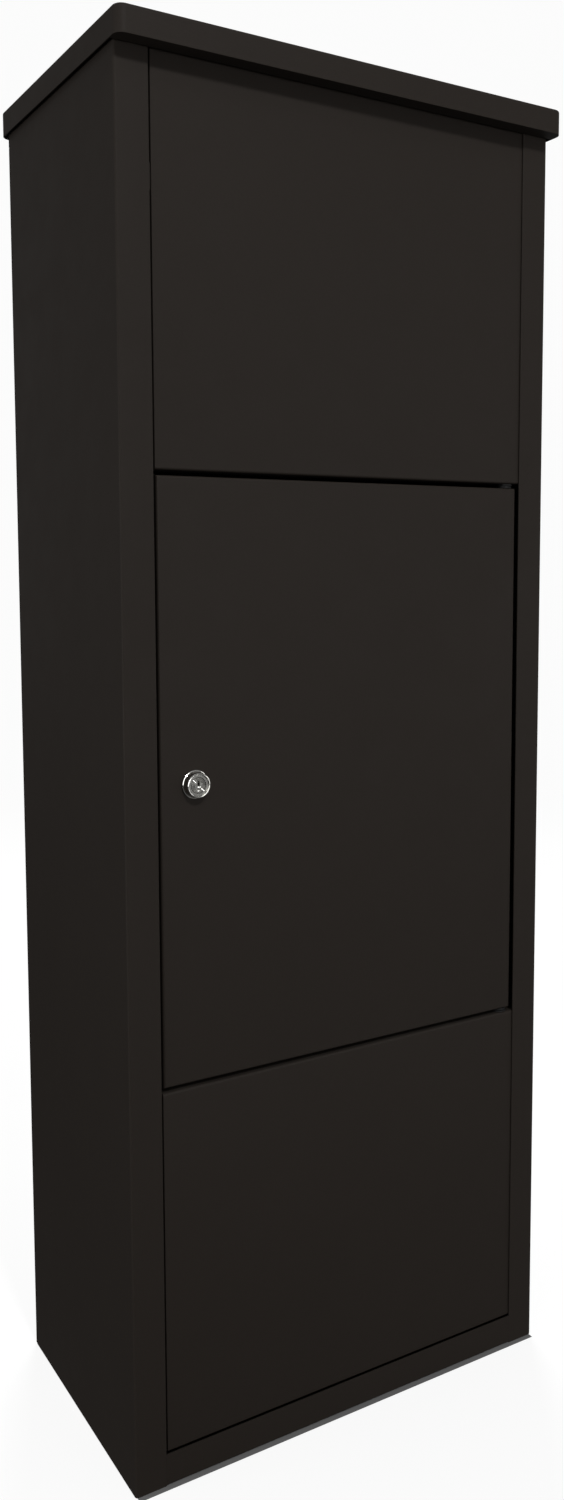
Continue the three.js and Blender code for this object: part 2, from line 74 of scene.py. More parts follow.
# ---------- materials ----------
class Shader:
    """A node material around one Principled shader."""

    def __init__(self, name, colour, roughness, metallic=0.0, specular=0.5):
        self.material = bpy.data.materials.new(name)
        self.material.use_nodes = True
        self.material.diffuse_color = (*colour, 1.0)
        self.tree = self.material.node_tree
        self.principled = self.tree.nodes["Principled BSDF"]
        self.set("Base Color", (*colour, 1.0))
        self.set("Roughness", roughness)
        self.set("Metallic", metallic)
        self.set("Specular IOR Level", specular)
        self.place = self.node("ShaderNodeTexCoord").outputs["Object"]

    def node(self, kind, inputs=None, **settings):
        made = self.tree.nodes.new(kind)
        for key, value in settings.items():
            setattr(made, key, value)
        for key, value in (inputs or {}).items():
            if isinstance(value, bpy.types.NodeSocket):
                self.tree.links.new(value, made.inputs[key])
            else:
                made.inputs[key].default_value = value
        return made

    def set(self, socket, value):
        if isinstance(value, bpy.types.NodeSocket):
            self.tree.links.new(value, self.principled.inputs[socket])
        else:
            self.principled.inputs[socket].default_value = value

    def stretched(self, x, y, z):
        """The object's coordinates, scaled on each axis."""
        inputs = {"Vector": self.place, "Scale": (x, y, z)}
        return self.node("ShaderNodeMapping", inputs).outputs["Vector"]

    def noise(self, size, detail=2.0, rough=0.5, vector=None):
        """Noise whose features are about that size in metres."""
        inputs = {"Vector": vector or self.place, "Scale": 1 / size, "Detail": detail, "Roughness": rough}
        return self.node("ShaderNodeTexNoise", inputs).outputs["Fac"]

    def spread(self, value, low, high, start=0.35, end=0.65):
        """Maps a value, such as the middle of a noise's, from start and end to low and high."""
        inputs = {"Value": value, "From Min": start, "From Max": end, "To Min": low, "To Max": high}
        return self.node("ShaderNodeMapRange", inputs).outputs["Result"]

    def maths(self, operation, first, second):
        return self.node("ShaderNodeMath", {0: first, 1: second}, operation=operation).outputs[0]

    def blend(self, factor, first, second):
        """A colour between two others."""
        made = self.node("ShaderNodeMix", data_type="RGBA")
        for index, value in ((0, factor), (6, first), (7, second)):
            if isinstance(value, bpy.types.NodeSocket):
                self.tree.links.new(value, made.inputs[index])
            else:
                made.inputs[index].default_value = value if index == 0 else (*value, 1.0)
        return made.outputs[2]

    def bump(self, layers):
        """Stacked bumps, each a height socket with its depth in metres and its strength."""
        normal = None
        for height, depth, strength in layers:
            inputs = {"Height": height, "Distance": depth, "Strength": strength}
            if normal:
                inputs["Normal"] = normal
            normal = self.node("ShaderNodeBump", inputs).outputs["Normal"]
        self.set("Normal", normal)

    def sharp_edges(self, radius):
        """1 on convex and concave edges and 0 on flat faces."""
        rounded = self.node("ShaderNodeBevel", {"Radius": radius}, samples=4).outputs["Normal"]
        true = self.node("ShaderNodeNewGeometry").outputs["Normal"]
        dot = self.node("ShaderNodeVectorMath", {0: rounded, 1: true}, operation="DOT_PRODUCT")
        return self.spread(dot.outputs["Value"], 1.0, 0.0, start=0.80, end=0.99)


def powder_coat():
    """Satin-matt warm black with orange peel, a faint drift of tone and lighter edges, which are partly wear
    and partly a painted highlight.
    """
    colour = (0.0154, 0.0123, 0.0101)
    shader = Shader("powder_coat", colour, 0.6, specular=0.1)
    drift = shader.spread(shader.noise(0.11, 3.0), 0.0, 1.0)
    grain = shader.spread(shader.noise(0.0011, 1.0), 0.0, 1.0)
    lighter = tuple(1.25 * part for part in colour)
    speck = tuple(1.6 * part for part in colour)
    toned = shader.blend(shader.maths("MULTIPLY", drift, 0.15), colour, lighter)
    grained = shader.blend(shader.maths("MULTIPLY", grain, 0.22), toned, speck)
    # Edges, convex and concave, are lightened in patches: partly wear, partly a painted highlight.
    edge_wear_and_highlight_patches = shader.spread(shader.noise(0.006, 4.0, 0.7), 0.0, 1.0, start=0.5, end=0.7)
    edge_wear_and_highlight = shader.maths("MULTIPLY", shader.sharp_edges(0.6 * MM), edge_wear_and_highlight_patches)
    # The lighter edge colour stands for rubbed paint and for a painted highlight.
    rubbed = tuple(2.4 * part for part in colour)
    edge = shader.blend(shader.maths("MULTIPLY", edge_wear_and_highlight, 0.5), grained, rubbed)
    facing = shader.node("ShaderNodeTexCoord").outputs["Normal"]
    upward = shader.node("ShaderNodeSeparateXYZ", {0: facing}).outputs["Z"]
    level = shader.spread(upward, 0.0, 1.0, start=0.7, end=1.0)
    patches = shader.spread(shader.noise(0.05, 6.0, 0.65), 0.25, 1.0, start=0.3, end=0.7)
    dust = shader.maths("MULTIPLY", shader.maths("MULTIPLY", level, patches), 0.1)
    shader.set("Base Color", shader.blend(dust, edge, (0.09, 0.085, 0.078)))
    handled = shader.spread(shader.noise(0.035, 4.0, 0.6), 0.58, 0.64)
    shader.set("Roughness", shader.maths("SUBTRACT", handled, shader.maths("MULTIPLY", edge_wear_and_highlight, 0.12)))
    peel = shader.noise(0.0024, 1.0)
    fine = shader.noise(0.0005, 2.0)
    shader.bump([(peel, 0.05 * MM, 0.35), (fine, 0.012 * MM, 0.35)])
    return shader.material


def zinc():
    """Dull zinc plate with a faint blue and yellow cast and a fine cloudy spangle."""
    shader = Shader("zinc", (0.36, 0.37, 0.38), 0.35, metallic=1.0)
    cast = shader.spread(shader.noise(0.012, 2.0), 0.0, 1.0)
    plated = shader.blend(cast, (0.33, 0.35, 0.38), (0.41, 0.39, 0.34))
    cells = shader.node("ShaderNodeTexVoronoi", {"Vector": shader.place, "Scale": 600.0})
    spangle = shader.maths("MULTIPLY", cells.outputs["Distance"], 0.5)
    shader.set("Base Color", shader.blend(spangle, plated, (0.24, 0.245, 0.25)))
    shader.set("Roughness", shader.spread(shader.noise(0.003, 4.0), 0.28, 0.46))
    scratches = shader.noise(0.002, 3.0, vector=shader.stretched(0.08, 1.0, 1.0))
    shader.bump([(scratches, 0.02 * MM, 0.4), (shader.noise(0.0006), 0.008 * MM, 0.3)])
    return shader.material


def chrome():
    """Bright, slightly warm plating with hairline scratches and faint fingermarks."""
    shader = Shader("chrome", (0.66, 0.655, 0.62), 0.08, metallic=1.0)
    tarnish = shader.spread(shader.noise(0.006, 3.0), 0.0, 0.35)
    shader.set("Base Color", shader.blend(tarnish, (0.68, 0.675, 0.64), (0.5, 0.49, 0.44)))
    shader.set("Roughness", shader.spread(shader.noise(0.004, 4.0, 0.6), 0.05, 0.16))
    hairlines = shader.noise(0.0005, 2.0, vector=shader.stretched(0.15, 1.0, 1.0))
    shader.bump([(hairlines, 0.004 * MM, 0.25)])
    return shader.material


def spring_steel():
    """Drawn wire: fine lines, and darker where oil has stayed."""
    shader = Shader("spring_steel", (0.26, 0.27, 0.28), 0.3, metallic=1.0)
    oil = shader.spread(shader.noise(0.009, 3.0), 0.0, 1.0)
    shader.set("Base Color", shader.blend(oil, (0.28, 0.29, 0.30), (0.16, 0.155, 0.15)))
    shader.set("Roughness", shader.spread(shader.noise(0.002, 3.0), 0.24, 0.4))
    drawn = shader.noise(0.0004, 2.0, vector=shader.stretched(1.0, 0.1, 0.1))
    shader.bump([(drawn, 0.01 * MM, 0.3)])
    return shader.material


def rubber():
    """Matt black rubber, with bloom in patches."""
    shader = Shader("rubber", (0.011, 0.011, 0.011), 0.78, specular=0.3)
    bloom = shader.spread(shader.noise(0.008, 4.0), 0.0, 0.5)
    shader.set("Base Color", shader.blend(bloom, (0.010, 0.010, 0.010), (0.026, 0.026, 0.027)))
    shader.set("Roughness", shader.spread(shader.noise(0.004, 2.0), 0.7, 0.86))
    shader.bump([(shader.noise(0.0006, 3.0), 0.03 * MM, 0.5)])
    return shader.material


def nylon():
    """Black moulded nylon, with paler scuffs where it has rubbed."""
    shader = Shader("nylon", (0.012, 0.012, 0.012), 0.6, specular=0.15)
    scuffs = shader.spread(shader.noise(0.003, 4.0, 0.7), 0.0, 0.5, start=0.5, end=0.7)
    shader.set("Base Color", shader.blend(scuffs, (0.008, 0.008, 0.008), (0.02, 0.02, 0.02)))
    shader.set("Roughness", shader.spread(shader.noise(0.002, 2.0), 0.52, 0.68))
    shader.bump([(shader.noise(0.0008, 2.0), 0.015 * MM, 0.35)])
    return shader.material


def black_zinc():
    """Black passivated plate, bare at the rubbed places."""
    shader = Shader("black_zinc", (0.03, 0.03, 0.032), 0.75, metallic=1.0)
    cloud = shader.spread(shader.noise(0.004, 3.0), 0.0, 1.0)
    shader.set("Base Color", shader.blend(cloud, (0.024, 0.024, 0.026), (0.045, 0.044, 0.044)))
    shader.set("Roughness", shader.spread(shader.noise(0.002, 3.0), 0.68, 0.82))
    shader.bump([(shader.noise(0.0005, 2.0), 0.01 * MM, 0.3)])
    return shader.material


MATERIALS = {
    "powder_coat": powder_coat(),
    "zinc": zinc(),
    "chrome": chrome(),
    "spring_steel": spring_steel(),
    "rubber": rubber(),
    "nylon": nylon(),
    "black_zinc": black_zinc(),
}


# ---------- shapes ----------
AXES = {"x": (1, 2, 0), "y": (0, 2, 1), "z": (0, 1, 2)}


def laid(axis, first, second, along):
    """A point of a profile in (y, z), (x, z) or (x, y), at a distance along X, Y or Z."""
    point = [0.0, 0.0, 0.0]
    for index, value in zip(AXES[axis], (first, second, along)):
        point[index] = value
    return point


def skin(rings, loop=False):
    """A closed mesh over rings of points. The end rings are capped unless the last joins the first."""
    shape = bmesh.new()
    made = [[shape.verts.new(point) for point in ring] for ring in rings]
    pairs = list(zip(made, made[1:]))
    if loop:
        pairs.append((made[-1], made[0]))
    else:
        shape.faces.new(made[0])
        shape.faces.new(made[-1])
    for near, far in pairs:
        for i in range(len(near)):
            j = (i + 1) % len(near)
            shape.faces.new((near[i], near[j], far[j], far[i]))
    bmesh.ops.recalc_face_normals(shape, faces=shape.faces)
    mesh = bpy.data.meshes.new("solid")
    shape.to_mesh(mesh)
    shape.free()
    return mesh


def prism(axis, outline, start, end):
    return skin([[laid(axis, a, b, along) for a, b in outline] for along in (start, end)])


def block(left, right, front, back, bottom, top):
    outline = [(left, front), (right, front), (right, back), (left, back)]
    return prism("z", outline, bottom, top)


def circle(radius, sides=ROUND_SIDES, centre=(0.0, 0.0)):
    angles = [2 * math.pi * i / sides for i in range(sides)]
    return [(centre[0] + radius * math.cos(t), centre[1] + radius * math.sin(t)) for t in angles]


def rod(axis, centre, radius, start, end, sides=ROUND_SIDES):
    return prism(axis, circle(radius, sides, centre), start, end)


def turned(axis, centre, outline, bored=False, sides=ROUND_SIDES):
    """Turns an outline of (radius, place along the axis). A bored outline is closed round its hole."""
    rings = []
    for radius, along in outline:
        rings.append([laid(axis, a, b, along) for a, b in circle(radius, sides, centre)])
    return skin(rings, loop=bored)


def folded(corners, thickness=SHEET, outer=FOLD):
    """The section of a folded sheet: its line runs through the corners, with the metal on its left."""
    points = [Vector(corner) for corner in corners]
    directions = [(b - a).normalized() for a, b in zip(points, points[1:])]

    def left_of(direction):
        return Vector((-direction.y, direction.x))

    near = [points[0]]
    far = [points[0] + thickness * left_of(directions[0])]
    for corner, before, after in zip(points[1:], directions, directions[1:]):
        turn = math.atan2(before.cross(after), before.dot(after))
        side = math.copysign(1.0, turn)
        radius = outer if side > 0 else outer - thickness
        centre = corner - radius * math.tan(abs(turn) / 2) * before + side * radius * left_of(before)
        for step in range(FOLD_STEPS + 1):
            spoke = Matrix.Rotation(turn * step / FOLD_STEPS, 2) @ (-side * left_of(before))
            near.append(centre + radius * spoke)
            far.append(centre + (radius - side * thickness) * spoke)
    near.append(points[-1])
    far.append(points[-1] + thickness * left_of(directions[-1]))
    return near + far[::-1]


def hat(middle, foot, height, half_crown, half_width):
    """The section of a top-hat stiffener: two feet, and a crown at a height above or below them."""
    crown = foot + height
    return folded(
        [
            (middle - half_width, foot),
            (middle - half_crown, foot),
            (middle - half_crown, crown),
            (middle + half_crown, crown),
            (middle + half_crown, foot),
            (middle + half_width, foot),
        ]
    )


def rounded_rectangle(half_x, half_y, radius, z):
    """A ring of points. With no radius it has its four corners alone."""
    steps = 10
    ring = []
    for quarter, (right, back) in enumerate(((1, 1), (-1, 1), (-1, -1), (1, -1))):
        x = right * (half_x - radius)
        y = back * (half_y - radius)
        if radius == 0:
            ring.append((x, y, z))
            continue
        for step in range(steps + 1):
            angle = math.pi / 2 * (quarter + step / steps)
            ring.append((x + radius * math.cos(angle), y + radius * math.sin(angle), z))
    return ring


def pan(half_x, half_y, depth, corner=0.0):
    """A sheet folded down all round. Its face is up, at z = 0."""
    bend = [math.pi / 2 * step / FOLD_STEPS for step in range(FOLD_STEPS + 1)]
    inner = FOLD - SHEET
    profile = [(FOLD - FOLD * math.sin(t), FOLD - FOLD * math.cos(t)) for t in bend]
    profile += [(0.0, depth), (SHEET, depth)]
    profile += [(FOLD - inner * math.sin(t), FOLD - inner * math.cos(t)) for t in reversed(bend)]
    rings = []
    for inset, down in profile:
        radius = corner - inset if corner else 0.0
        rings.append(rounded_rectangle(half_x - inset, half_y - inset, radius, -down))
    return skin(rings)


def wire(path, radius):
    """A round wire along a path of points."""
    sides = 12
    rings = []
    side = Vector((1.0, 0.0, 0.0))
    for i, point in enumerate(path):
        ahead = path[min(i + 1, len(path) - 1)] - path[max(i - 1, 0)]
        ahead.normalize()
        side = (side - side.dot(ahead) * ahead).normalized()
        up = ahead.cross(side)
        rings.append([point + a * side + b * up for a, b in circle(radius, sides)])
    return skin(rings)


def moved(mesh, matrix):
    mesh.transform(matrix)
    if matrix.is_negative:
        mesh.flip_normals()
    return mesh


def mirrored(mesh):
    return moved(mesh.copy(), Matrix.Diagonal((-1.0, 1.0, 1.0, 1.0)))


def combined(mesh, others, operation):
    """The mesh after a boolean with each of the others."""
    collection = bpy.context.scene.collection
    target = bpy.data.objects.new("target", mesh)
    collection.objects.link(target)
    tools = []
    for other in others:
        tool = bpy.data.objects.new("tool", other)
        collection.objects.link(tool)
        tools.append(tool)
        modifier = target.modifiers.new("boolean", "BOOLEAN")
        modifier.object = tool
        modifier.operation = operation
        modifier.solver = "EXACT"
    depsgraph = bpy.context.evaluated_depsgraph_get()
    result = bpy.data.meshes.new_from_object(target.evaluated_get(depsgraph))
    for thing in [target, *tools]:
        bpy.data.objects.remove(thing)
    return result


def union(mesh, *others):
    return combined(mesh, others, "UNION")


def cut(mesh, *tools):
    return combined(mesh, tools, "DIFFERENCE")


def together(meshes):
    """Separate solids in one mesh."""
    shape = bmesh.new()
    for mesh in meshes:
        shape.from_mesh(mesh)
    whole = bpy.data.meshes.new("solids")
    shape.to_mesh(whole)
    shape.free()
    return whole


def piece(name, body, slot, mesh, replaces=(), edge=EDGE, smooth=SMOOTH_BELOW):
    """Puts a mesh on a CAD body, in its material, with its cut edges rounded by that much."""
    mesh.name = name
    mesh.materials.clear()
    mesh.materials.append(MATERIALS[slot])
    mesh.polygons.foreach_set("use_smooth", [True] * len(mesh.polygons))
    mesh.set_sharp_from_angle(angle=smooth)
    thing = bpy.data.objects.new(name, mesh)
    bpy.context.scene.collection.objects.link(thing)
    if edge:
        bevel = thing.modifiers.new("edges", "BEVEL")
        bevel.width = edge
        bevel.segments = 2
        bevel.limit_method = "ANGLE"
        bevel.angle_limit = math.radians(50)
        bevel.harden_normals = True
    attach(thing, body)
    if replaces:
        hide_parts(*replaces)


def visual(node, body, slot, mesh, edge=EDGE, smooth=SMOOTH_BELOW):
    """The finished piece that stands for one CAD node."""
    piece(f"{node}_finished", body, slot, mesh, (node,), edge, smooth)


def pair(node, body, slot, mesh, edge=EDGE):
    """The left piece and its mirror image at the right."""
    other = mirrored(mesh)
    visual(f"{node}_left", body, slot, mesh, edge)
    visual(f"{node}_right", body, slot, other, edge)


# ---------- cabinet ----------
def side_panels():
    box = Box("side_panel_left")
    rear_flange = 18 * MM
    section = folded(
        [
            (box.left + rear_flange, box.back),
            (box.left, box.back),
            (box.left, box.front),
            (box.right, box.front),
        ]
    )
    pair("side_panel", "cabinet", "powder_coat", prism("z", section, box.bottom, box.top))


def rear_panel():
    box = Box("rear_panel")
    sheet = block(box.left, box.right, box.front, box.back, box.bottom, box.top)
    plugs = [f"rear_plug_{end}_{side}" for end in ("bottom", "top") for side in ("left", "right")]
    hole_radius = 5 * MM
    holes = []
    for plug in plugs:
        place = Box(plug)
        holes.append(rod("y", (place.x, place.z), hole_radius, box.front - MM, box.back + MM))
    visual("rear_panel", "cabinet", "powder_coat", cut(sheet, *holes))
    for plug in plugs:
        visual(plug, "cabinet", "rubber", rear_plug(Box(plug), hole_radius - GAP), edge=0)


def rear_plug(box, stem):
    """A domed head inside the cabinet and a hollow stem through the hole."""
    head = box.x - box.left
    flat = box.back - 3.2 * MM
    outline = [
        (0.25 * head, box.front),
        (0.75 * head, box.front + 0.3 * MM),
        (0.95 * head, box.front + 0.9 * MM),
        (head, box.front + 1.5 * MM),
        (head, flat + 1.9 * MM),
        (0.96 * head, flat + 2.0 * MM),
        (stem, flat + 2.0 * MM),
        (stem, box.back - 0.4 * MM),
        (stem - 0.4 * MM, box.back),
        (stem - 1.6 * MM, box.back),
        (stem - 1.8 * MM, box.back - 1.5 * MM),
    ]
    return turned("y", (box.x, box.z), outline)


def base_pan():
    box = Box("base_pan")
    upturn = 20 * MM
    flange = Box("side_panel_right").left
    panel = Box("side_panel_left")
    rail_section = folded(
        [
            (box.front, box.top),
            (box.front, box.bottom),
            (box.back, box.bottom),
            (box.back, box.bottom + upturn),
        ]
    )
    rail = prism("x", rail_section, -flange, flange)
    inner_front = panel.front + FOLD
    side_section = folded(
        [
            (box.left, box.bottom + upturn),
            (box.left, box.bottom),
            (box.right, box.bottom),
            (box.right, box.bottom + upturn),
        ]
    )
    floor = prism("y", side_section, inner_front, box.back)
    anchor_radius = 6 * MM
    holes = []
    for x in (-150 * MM, 150 * MM):
        for y in (-75 * MM, 75 * MM):
            holes.append(rod("z", (x, y), anchor_radius, box.bottom - MM, box.bottom + 2 * SHEET))
    visual("base_pan", "cabinet", "powder_coat", cut(union(rail, floor), *holes))


def front_panels():
    """Both fixed panels, folded back at their top and bottom, with a hole each for the pivots.

    Their right sides lap flat behind the flange. Their left sides step back behind the other
    flange and leave a groove beside it.
    """
    lower = Box("lower_front_panel")
    upper = Box("upper_front_panel")
    pin = Box("door_pivot_pin_bottom")
    pin_hole = 3 * MM + GAP
    top_fold = 17 * MM
    bottom_fold = 12 * MM
    groove = 2.0 * MM
    step = 3.0 * MM
    lower_section = folded(
        [
            (lower.back, lower.top),
            (lower.front, lower.top),
            (lower.front, lower.bottom),
            (lower.front + bottom_fold, lower.bottom),
        ]
    )
    upper_section = folded(
        [
            (upper.front + top_fold, upper.top),
            (upper.front, upper.top),
            (upper.front, upper.bottom),
            (upper.back, upper.bottom),
        ]
    )
    wall = Box("side_panel_left").right + groove
    for node, box, section in (
        ("lower_front_panel", lower, lower_section),
        ("upper_front_panel", upper, upper_section),
    ):
        hole = rod("z", (pin.x, pin.y), pin_hole, lower.top - 2 * SHEET, upper.bottom + 2 * SHEET)
        stations = [
            (box.left, 0.0, step),
            (wall - GAP, SHEET, step),
            (wall, SHEET, 0.0),
            (box.right, 0.0, 0.0),
        ]
        rings = []
        for x, inward, back in stations:
            outer_points = len(section) // 2
            ring = []
            for i, (y, z) in enumerate(section):
                ring.append((x if i < outer_points else x + inward, y + back, z))
            rings.append(ring)
        visual(node, "cabinet", "powder_coat", cut(skin(rings), hole))


def compartment_floor():
    box = Box("compartment_floor")
    pin = Box("door_pivot_pin_bottom")
    room = 10 * MM
    section = folded(
        [(box.right, box.bottom), (box.right, box.top), (box.left, box.top), (box.left, box.bottom)]
    )
    shelf = prism("y", section, box.front, box.back)
    notch = block(
        pin.x - room, box.right + MM, box.front - MM, pin.y + room, box.bottom - MM, box.top + MM
    )
    visual("compartment_floor", "cabinet", "powder_coat", cut(shelf, notch))


def rim():
    side = Box("rim_rail_left")
    section = folded([(side.right, side.top), (side.left, side.top), (side.left, side.bottom)])
    rail = prism("y", section, side.front, side.back)
    pair("rim_rail", "cabinet", "powder_coat", rail)
    rear = Box("rear_top_rail")
    lip = 12 * MM
    inner = side.right + 2 * MM
    rear_section = folded(
        [
            (rear.back, rear.bottom),
            (rear.back, rear.top),
            (rear.front, rear.top),
            (rear.front, rear.top - lip),
        ]
    )
    closing = block(rear.left, rear.right, rear.back - SHEET, rear.back, rear.bottom, rear.top - 4 * MM)
    rail = union(prism("x", rear_section, inner, -inner), closing)
    visual("rear_top_rail", "cabinet", "powder_coat", rail)


def lid_seal():
    """A rubber strip with two ribs, laid round the top opening."""
    box = Box("lid_seal")
    width = 8 * MM
    height = box.top - box.bottom
    rings = []
    ribs = []
    steps = 8
    for rib in range(2):
        middle = width * (0.25 + 0.5 * rib)
        for step in range(steps + 1):
            angle = math.pi * step / steps
            across = middle - 0.25 * width * math.cos(angle)
            ribs.append((across, height * (0.35 + 0.65 * math.sin(angle))))
    profile = [(0.0, 0.0), *ribs[: steps + 1], *ribs[steps + 2 :], (width, 0.0)]
    for inset, up in profile:
        half_x = (box.right - box.left) / 2 - inset
        half_y = (box.back - box.front) / 2 - inset
        corner = 11 * MM - inset
        ring = rounded_rectangle(half_x, half_y, corner, box.bottom + up)
        rings.append([(x, y + box.y, z) for x, y, z in ring])
    visual("lid_seal", "cabinet", "rubber", skin(rings, loop=True), edge=0)


def jambs():
    latch = Box("latch_jamb")
    hinge = Box("hinge_jamb")
    seal = Box("door_seal")
    latch_section = folded([(latch.right, latch.back), (latch.left, latch.back), (latch.left, latch.front)])
    hinge_section = folded([(hinge.right, hinge.front), (hinge.right, hinge.back), (hinge.left, hinge.back)])
    visual("latch_jamb", "cabinet", "powder_coat", prism("z", latch_section, latch.bottom, latch.top))
    visual("hinge_jamb", "cabinet", "powder_coat", prism("z", hinge_section, hinge.bottom, hinge.top))
    steps = 10
    crown = []
    for step in range(steps + 1):
        across = step / steps
        bow = math.sin(math.pi * across) ** 0.5
        x = seal.left + across * (seal.right - seal.left)
        crown.append((x, seal.back - bow * (seal.back - seal.front)))
    strip = prism("z", crown, seal.bottom, seal.top)
    visual("door_seal", "cabinet", "rubber", strip, edge=0)


def door_pivots():
    """A collared pin and a washer in each fixed panel, and a flanged bush in each end of the door."""
    shaft = 3 * MM
    for end, towards in (("bottom", 1), ("top", -1)):
        pin = Box(f"door_pivot_pin_{end}")
        washer = Box(f"door_washer_{end}")
        bush = Box(f"door_bush_{end}")
        centre = (pin.x, pin.y)
        low, high = (pin.bottom, pin.top) if towards > 0 else (pin.top, pin.bottom)
        collar = low + towards * 3 * MM
        outline = [
            (shaft + 0.6 * MM, low),
            (shaft + MM, low + towards * 0.4 * MM),
            (shaft + MM, collar),
            (shaft, collar),
            (shaft, high - towards * 0.8 * MM),
            (shaft - 0.8 * MM, high),
        ]
        visual(f"door_pivot_pin_{end}", "cabinet", "black_zinc", turned("z", centre, outline), edge=0)
        ring = washer_outline(shaft + GAP, washer.right - washer.x, washer.bottom, washer.top)
        visual(f"door_washer_{end}", "cabinet", "nylon", turned("z", centre, ring, bored=True), edge=0)
        near, far = (bush.bottom, bush.top) if towards > 0 else (bush.top, bush.bottom)
        flange = near + towards * 1.7 * MM
        bore = shaft + 0.2 * MM
        sleeve = 4.5 * MM
        bush_outline = [
            (bore, near),
            (bush.right - bush.x - 0.3 * MM, near),
            (bush.right - bush.x, near + towards * 0.3 * MM),
            (bush.right - bush.x, flange - towards * 0.3 * MM),
            (bush.right - bush.x - 0.3 * MM, flange),
            (sleeve, flange),
            (sleeve, far - towards * 0.5 * MM),
            (sleeve - 0.4 * MM, far),
            (bore, far),
        ]
        visual(f"door_bush_{end}", "door", "nylon", turned("z", centre, bush_outline, bored=True), edge=0)


def washer_outline(bore, outer, low, high):
    ease = 0.25 * MM
    return [
        (bore, low),
        (outer - ease, low),
        (outer, low + ease),
        (outer, high - ease),
        (outer - ease, high),
        (bore, high),
    ]


# ---------- door ----------
def door_panel():
    box = Box("door_panel")
    cylinder = Box("lock_housing")
    pin = Box("door_pivot_pin_bottom")
    upright = Matrix.Translation((box.x, box.front, box.z)) @ Matrix.Rotation(math.pi / 2, 4, "X")
    half_x = (box.right - box.left) / 2
    half_z = (box.top - box.bottom) / 2
    leaf = moved(pan(half_x, half_z, box.back - box.front), upright)
    lock_hole = rod("y", (cylinder.x, cylinder.z), LOCK_HOLE, box.front - MM, box.front + 2 * SHEET)
    bush_hole = 4.8 * MM
    pivot_hole = rod("z", (pin.x, pin.y), bush_hole, box.bottom - MM, box.top + MM)
    visual("door_panel", "door", "powder_coat", cut(leaf, lock_hole, pivot_hole))
    stiffener = Box("door_stiffener")
    section = hat(stiffener.x, stiffener.front, stiffener.back - stiffener.front - SHEET, 16 * MM, 30 * MM)
    channel = prism("z", section, stiffener.bottom, stiffener.top)
    visual("door_stiffener", "door", "powder_coat", channel)
    marks = []
    foot = stiffener.front + SHEET
    for x in (stiffener.left + 6 * MM, stiffener.right - 6 * MM):
        for z in evenly(stiffener.bottom + 20 * MM, stiffener.top - 20 * MM, 8):
            marks.append(turned("y", (x, z), weld_mark(foot, 1), sides=24))
    piece("door_weld_marks", "door", "powder_coat", together(marks), edge=0)


def evenly(start, end, count):
    return [start + (end - start) * i / (count - 1) for i in range(count)]


def weld_mark(surface, outward):
    """A spot weld under the paint: a low ring around a shallow dimple."""
    outline = [(3.4, -0.05), (3.0, 0.10), (2.6, 0.14), (2.0, 0.08), (1.0, 0.02)]
    return [(radius * MM, surface + outward * rise * MM) for radius, rise in outline]


# ---------- lock ----------
def lock():
    lock_housing()
    lock_plug()
    lock_cam()
    housing = Box("lock_housing")
    centre = (housing.x, housing.z)
    gasket = Box("lock_gasket")
    ring = washer_outline(LOCK_HOLE, gasket.right - gasket.x, gasket.front, gasket.back)
    visual("lock_gasket", "door", "rubber", turned("y", centre, ring, bored=True), edge=0)
    stud_bore = 2.8 * MM
    for node, body, bore in (("lock_nut", "door", LOCK_HOLE), ("cam_nut", "lock_cylinder", stud_bore)):
        box = Box(node)
        outer = (box.right - box.left) / 2
        hexagon = prism("y", circle(outer, 6, centre), box.front, box.back)
        hole = rod("y", centre, bore, box.front - MM, box.back + MM)
        visual(node, body, "zinc", cut(hexagon, hole), edge=0.5 * MM)


def lock_housing():
    """A flange, a neck and a bezel in front of the door, and a threaded barrel behind it.

    Each point of the front is a radius and a distance out from the door, in millimetres.
    """
    box = Box("lock_housing")
    face = Box("door_panel").front
    barrel = 9 * MM
    bore = 6.3 * MM
    thread = 0.45 * MM
    pitch = 1.0 * MM
    front = [
        (9.0, 1.0),
        (11.0, 1.0),
        (11.3, 1.2),
        (11.3, 1.6),
        (11.0, 1.9),
        (10.6, 2.0),
        (10.3, 2.3),
        (10.1, 2.8),
        (9.95, 3.4),
        (9.9, 4.2),
        (9.9, 7.3),
        (9.8, 7.7),
        (9.55, 8.0),
        (9.2, 8.15),
        (9.0, 8.2),
        (8.75, 8.15),
        (8.5, 7.95),
        (8.35, 7.6),
        (8.3, 7.1),
        (8.1, 7.0),
        (6.5, 7.0),
        (6.3, 6.8),
    ]
    outline = [(bore, box.back), (barrel - thread, box.back)]
    along = box.back - 0.6 * MM
    while along > face + 1.2 * MM:
        outline.append((barrel, along))
        outline.append((barrel - thread, along - pitch / 2))
        along -= pitch
    outline.append((barrel, face))
    outline += [(radius * MM, face - out * MM) for radius, out in front]
    mesh = turned("y", (box.x, box.z), outline, bored=True, sides=96)
    visual("lock_housing", "door", "chrome", mesh, edge=0, smooth=CRISP_BELOW)


